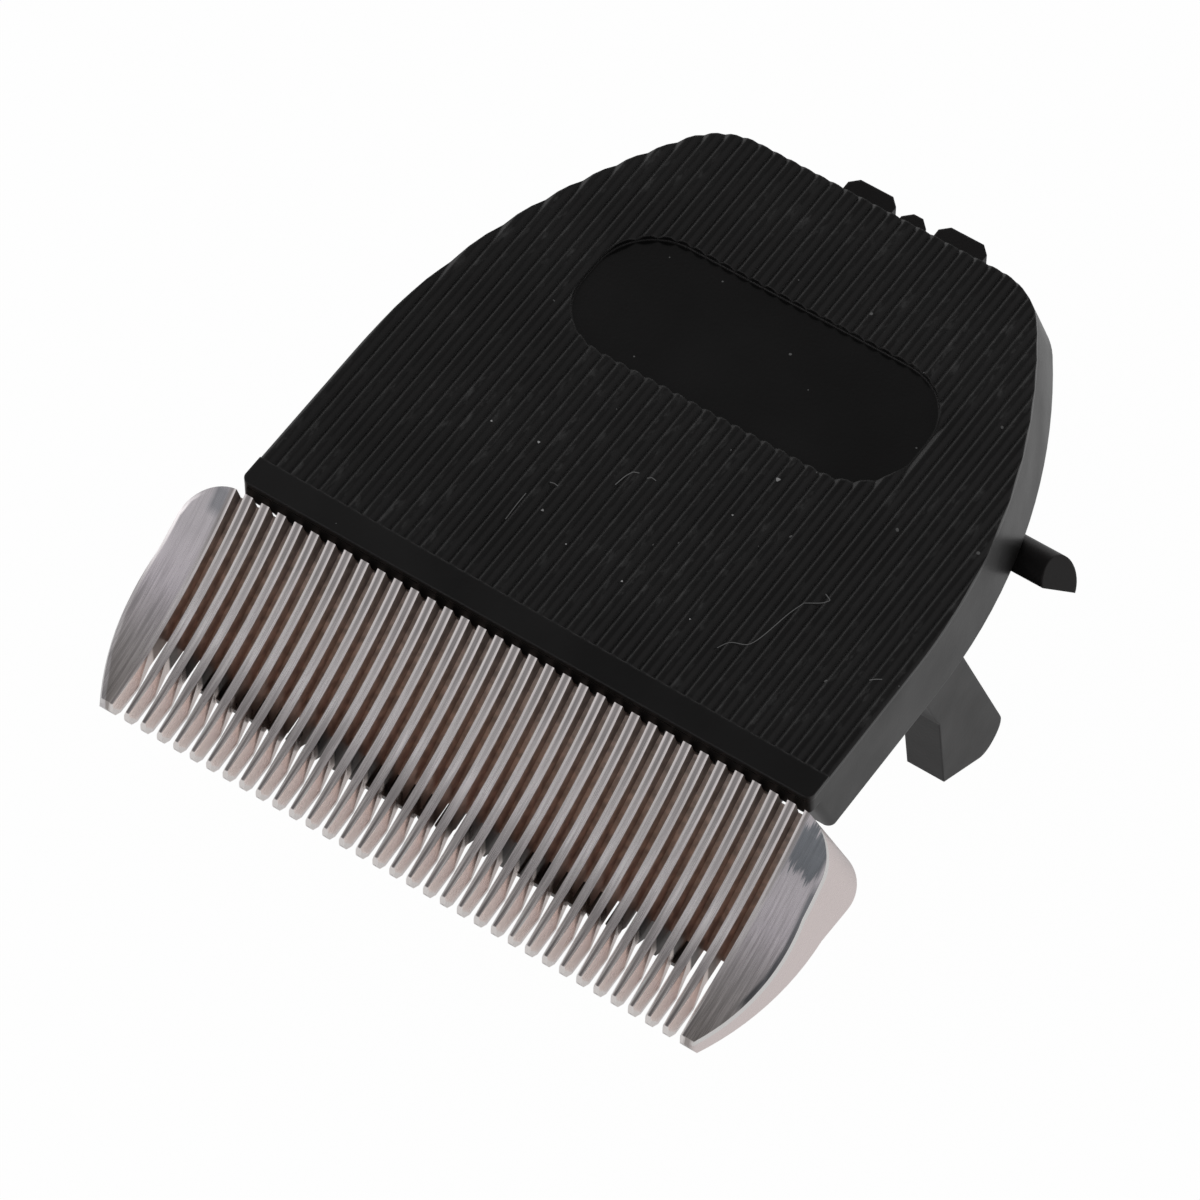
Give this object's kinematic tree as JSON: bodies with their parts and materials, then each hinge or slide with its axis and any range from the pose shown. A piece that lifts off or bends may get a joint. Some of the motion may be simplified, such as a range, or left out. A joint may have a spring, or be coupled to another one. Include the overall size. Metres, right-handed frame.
{
  "type": "hair clipper blade",
  "caption": "Clip-on hair clipper blade head: ribbed black cover with a bare oval recess, steel comb with fine curved teeth, and a cutter that slides from side to side under it.",
  "frame": {"origin": "middle of the underside of the whole head's box", "axes": "+X across the teeth to the right as seen from the teeth, +Y from the teeth to the rear, +Z out of the ribbed cover"},
  "size_m": [0.0464, 0.055, 0.021],
  "materials": {
    "cover_plastic": "matte moulded",
    "frame_plastic": "satin moulded",
    "comb_steel": "ground",
    "cutter_steel": "dark ground",
    "carrier_plastic": "satin moulded",
    "spring_steel": "rolled",
    "screw_steel": "plated"
  },
  "bodies": {
    "head": {"top_cover": "cover_plastic", "base_frame": "frame_plastic", "comb_blade": "comb_steel", "pressure_spring_right": "spring_steel", "pressure_spring_left": "spring_steel", "comb_screws": "screw_steel", "cover_screws": "screw_steel"},
    "cutter": {"cutter_blade": "cutter_steel", "cutter_carrier": "carrier_plastic"}
  },
  "joints": [
    {"name": "cutter_slide", "type": "slide", "parent": "head", "child": "cutter", "axis": [1, 0, 0], "range_m": [-0.0015, 0.0015]}
  ]
}
